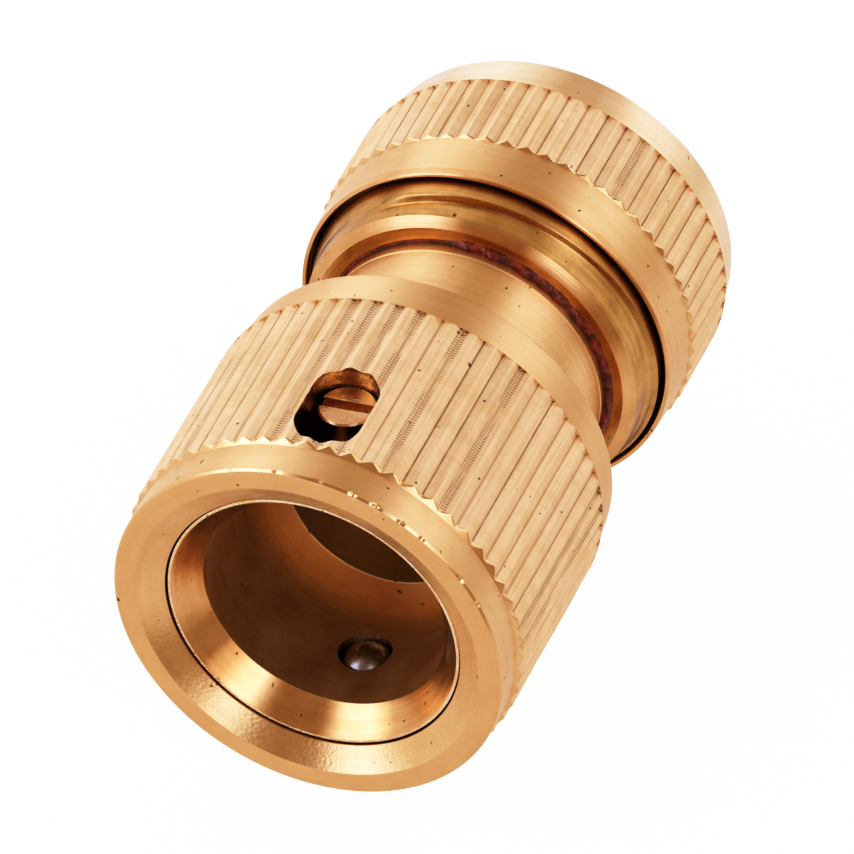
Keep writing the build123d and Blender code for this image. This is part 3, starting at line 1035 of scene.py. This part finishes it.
def make_floor():
    """White sweep that the connector lies on, seen by the camera alone and lit almost to plain white."""
    bpy.ops.mesh.primitive_plane_add(size=FLOOR_SIZE, location=(0, 0, CAD_BOX[0][2]))
    floor = bpy.context.object
    floor.name = "studio_floor"
    material = bpy.data.materials.new("floor_white")
    nodes = Nodes(material)
    tree = nodes.tree
    paper = tree.nodes.new("ShaderNodeBsdfDiffuse")
    paper.inputs["Color"].default_value = FLOOR_PAPER
    glow = tree.nodes.new("ShaderNodeEmission")
    glow.inputs["Strength"].default_value = FLOOR_GLOW
    seen = tree.nodes.new("ShaderNodeMixShader")
    seen.inputs[0].default_value = FLOOR_GLOW_SHARE
    tree.links.new(paper.outputs[0], seen.inputs[1])
    tree.links.new(glow.outputs[0], seen.inputs[2])
    clear = tree.nodes.new("ShaderNodeBsdfTransparent")
    either = tree.nodes.new("ShaderNodeMixShader")
    tree.links.new(nodes.add("LightPath"), either.inputs[0])
    tree.links.new(clear.outputs[0], either.inputs[1])
    tree.links.new(seen.outputs[0], either.inputs[2])
    output = tree.nodes.new("ShaderNodeOutputMaterial")
    tree.links.new(either.outputs[0], output.inputs[0])
    floor.data.materials.append(material)


# Camera: its direction, its distance from the mouth, and how far right and up of the mouth it aims
CAMERA_AZIMUTH = 21.9
CAMERA_ELEVATION = 43.2
CAMERA_DISTANCE = 883.7
CAMERA_AIM = (8.21, 14.03)
CAMERA_LENS = 552.9


def make_camera():
    """Long lens from above, to the right of the mouth, aimed past the mouth at the middle of the length."""
    azimuth, elevation = radians(CAMERA_AZIMUTH), radians(CAMERA_ELEVATION)
    right = Vector((cos(azimuth), sin(azimuth), 0))
    forward = Vector((-sin(azimuth) * cos(elevation), cos(azimuth) * cos(elevation), -sin(elevation)))
    up = right.cross(forward)
    to_mouth = forward * CAMERA_DISTANCE * MM
    place = Vector((0, -0.25 * MM, 0)) - to_mouth
    aim = to_mouth + right * CAMERA_AIM[0] * MM + up * CAMERA_AIM[1] * MM
    turn = forward.rotation_difference(aim)
    camera = bpy.data.cameras.new("camera")
    camera.sensor_width = 36
    camera.lens = CAMERA_LENS
    camera.clip_end = 10
    holder = bpy.data.objects.new("camera", camera)
    axes = Matrix((right, up, -forward)).transposed()
    holder.matrix_world = Matrix.Translation(place) @ (turn.to_matrix() @ axes).to_4x4()
    bpy.context.scene.collection.objects.link(holder)
    bpy.context.scene.camera = holder


# Tone curve of the picture: (scene light over CURVE_WHITE, shown light)
CURVE_WHITE = 1.25
TONE_CURVE = (
    (0.08, 0.033),
    (0.16, 0.099),
    (0.24, 0.19),
    (0.336, 0.325),
    (0.48, 0.57),
    (0.60, 0.75),
    (0.70, 0.87),
    (0.80, 0.945),
    (0.90, 0.985),
)


def make_view():
    """Contrasty tone curve with a soft shoulder."""
    settings = bpy.context.scene.view_settings
    settings.view_transform = "Standard"
    settings.use_curve_mapping = True
    mapping = settings.curve_mapping
    mapping.white_level = (CURVE_WHITE, CURVE_WHITE, CURVE_WHITE)
    curve = mapping.curves[3]
    for light, shown in TONE_CURVE:
        curve.points.new(light, shown)
    mapping.update()


def make_studio():
    """Tent, floor, two soft boxes, tone curve and camera."""
    make_world()
    make_floor()
    middle = (0, 0.02, 0)
    area_light("soft_box_left", (-0.45, -0.15, 0.36), middle, LAMP_SIZE, LAMP_POWER)
    area_light("soft_box_right", (0.42, -0.30, 0.34), middle, LAMP_SIZE, LAMP_POWER)
    make_view()
    make_camera()


# ---------------------------------------------------------------- brasses

LIGHT_BRASS = (0.88, 0.60, 0.32, 1)
DARK_BRASS = (0.82, 0.54, 0.27, 1)
# Paler tones of the brass for the knurls: painted sheen, the white light their fine texture spreads
SHEEN_LIGHT_BRASS = (0.95, 0.73, 0.48, 1)
SHEEN_DARK_BRASS = (0.88, 0.65, 0.38, 1)
DULL_BRASS = (0.80, 0.58, 0.27, 1)
DARK_DULL_BRASS = (0.70, 0.48, 0.20, 1)
# Cutter marks and painted valley shade on each knurl: its teeth, its first crest and the share of its teeth
# with cutter marks
SLEEVE_MARKS = (SLEEVE_TEETH, SLEEVE_CREST_ANGLE, 0.45)
NUT_MARKS = (NUT_TEETH, NUT_CREST_ANGLE, 0.0)
KNURL_FINISH = {"rings": 0.5, "mottle": 1.0, "knurl": SLEEVE_MARKS}
NUT_KNURL_FINISH = {"rings": 0.5, "mottle": 1.2, "knurl": NUT_MARKS}
BRIGHT = (LIGHT_BRASS, DARK_BRASS)
# Knurls' pale tones: painted sheen
KNURL_SHEEN = (SHEEN_LIGHT_BRASS, SHEEN_DARK_BRASS)
DULL = (DULL_BRASS, DARK_DULL_BRASS)
FACE = ((0.87, 0.57, 0.28, 1), (0.83, 0.53, 0.25, 1))
# Darker copy of the brass on the mouth cones and chamfers: painted shade, so that they show brown
SHADED_CONE = ((0.84, 0.54, 0.27, 1), (0.74, 0.44, 0.20, 1))
# Paler copy of the brass on the nut's tapered rear: painted light
RIM_SHEEN = ((0.93, 0.72, 0.47, 1), (0.88, 0.64, 0.38, 1))
# Walls of the sleeve's hole: brass clouded with a near-black brown, which is painted shade inside the hole
DRILLED_AND_SHADED = ((0.85, 0.56, 0.28, 1), (0.30, 0.15, 0.05, 1))
# Paler copy of the brass on the socket's front lip: painted highlight along the lip
LIP_HIGHLIGHT = ((0.96, 0.80, 0.58, 1), LIGHT_BRASS)
SHOULDER = ((0.88, 0.55, 0.27, 1), (0.80, 0.48, 0.22, 1))
# Darker copy of the brass on the inner walls of the sleeve and the nut and on the nut's thread: painted
# shade
SHADED_INSIDE = ((0.74, 0.45, 0.18, 1), (0.62, 0.36, 0.13, 1))
# Darker copy of the brass on the hose tail's threaded collar: painted shade under the nut's rim
SHADED_COLLAR = ((0.70, 0.43, 0.17, 1), (0.52, 0.29, 0.10, 1))
SCREW = ((0.82, 0.55, 0.30, 1), (0.66, 0.40, 0.20, 1))
MATERIALS = {
    "band": brass("brass_band", *BRIGHT, (0.28, 0.36), 0.9),
    "knurl": brass("brass_knurl", *KNURL_SHEEN, (0.55, 0.62), **KNURL_FINISH),
    "nut_knurl": brass("brass_nut_knurl", *KNURL_SHEEN, (0.52, 0.60), **NUT_KNURL_FINISH),
    "face": brass("brass_face", *FACE, (0.38, 0.48), rings=0.7, mottle=1.0),
    "cone": brass("brass_cone", *SHADED_CONE, (0.13, 0.20), 0.9),
    "dish": brass("brass_dish", *BRIGHT, (0.24, 0.31), 0.9, mottle=1.0),
    "ledge": brass("brass_ledge", *BRIGHT, (0.16, 0.24), 0.9),
    "rim": brass("brass_rim", *RIM_SHEEN, (0.16, 0.24), 0.9),
    "drilled": brass("brass_drilled", *DRILLED_AND_SHADED, (0.12, 0.30), mottle=3.0),
    "lip": brass("brass_lip", *LIP_HIGHLIGHT, (0.22, 0.32), rings=0.5, mottle=5.0),
    "bore": brass("brass_bore", *DULL, (0.46, 0.58), rings=0.8, mottle=1.5),
    "shoulder": brass("brass_shoulder", *SHOULDER, (0.45, 0.55)),
    "inside": brass("brass_inside", *SHADED_INSIDE, (0.25, 0.35)),
    "neck": brass("brass_neck", *BRIGHT, (0.20, 0.28), 0.85),
    "collar": brass("brass_collar", *SHADED_COLLAR, (0.15, 0.22), 0.9),
    "screw": brass("brass_screw", *SCREW, (0.18, 0.30), rings=0.8, mottle=2.0),
}

# Which brass each turned surface shows, by radius and y: the first test that holds
SLEEVE_REGIONS = (
    ("face", lambda r, y: r > 12.4 and y < 0.02),
    ("dish", lambda r, y: y < 1.0 and r < 12.5),
    ("ledge", lambda r, y: r > 13.92 and y < 0.16),
    ("band", lambda r, y: r > 13.4 and (y < SLEEVE_KNURL[0] + SLEEVE_LEDGE[0] or y > SLEEVE_KNURL[1])),
    ("ledge", lambda r, y: r > 13.4 and y < SLEEVE_KNURL[0] + SLEEVE_LEDGE[1]),
    ("knurl", lambda r, y: r > 13.4),
    ("inside", lambda r, y: True),
)
SOCKET_REGIONS = (
    ("lip", lambda r, y: r > 10.4 and y < 1.2),
    ("bore", lambda r, y: r < BORE_R + 0.04 and 3.1 < y < BORE_REAR - 0.04),
    ("bore", lambda r, y: r < NOSE_BORE_R + 0.05),
    ("shoulder", lambda r, y: r < BORE_R + 0.04 and y > BORE_REAR - 0.04),
    ("cone", lambda r, y: r < 10.5 and y < 3.3),
    ("face", lambda r, y: r > 10.1 and y > 28.85),
    ("neck", lambda r, y: True),
)
TAIL_REGIONS = (
    ("cone", lambda r, y: 11.4 < r < LEAD_IN_R + 0.05 and y < 30.15),
    ("collar", lambda r, y: True),
)
NUT_REGIONS = (
    ("cone", lambda r, y: y < 33.48 and r > 13.4),
    ("inside", lambda r, y: r < 13.4 and y < 45),
    ("rim", lambda r, y: y > NUT_KNURL[1]),
    ("band", lambda r, y: y < NUT_KNURL[0] + NUT_LEDGE[0]),
    ("ledge", lambda r, y: y < NUT_KNURL[0] + NUT_LEDGE[1]),
    ("nut_knurl", lambda r, y: True),
)


# ---------------------------------------------------------------- all of it

make_sleeve()
make_socket()
make_tail()
make_nut()
dress(make_seal(), sealant())
spring_steel = steel("drawn_steel", (0.50, 0.49, 0.48, 1), 0.25)
dress(make_spring(), spring_steel)
ball_steel = steel("ball_steel", (0.60, 0.53, 0.48, 1), 0.22)
for node in ("ball_bottom", "ball_right", "ball_left"):
    dress(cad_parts[node], ball_steel)
dress(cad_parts["stop_screw"], MATERIALS["screw"])
dress(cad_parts["grip_ring"], nylon())

make_studio()
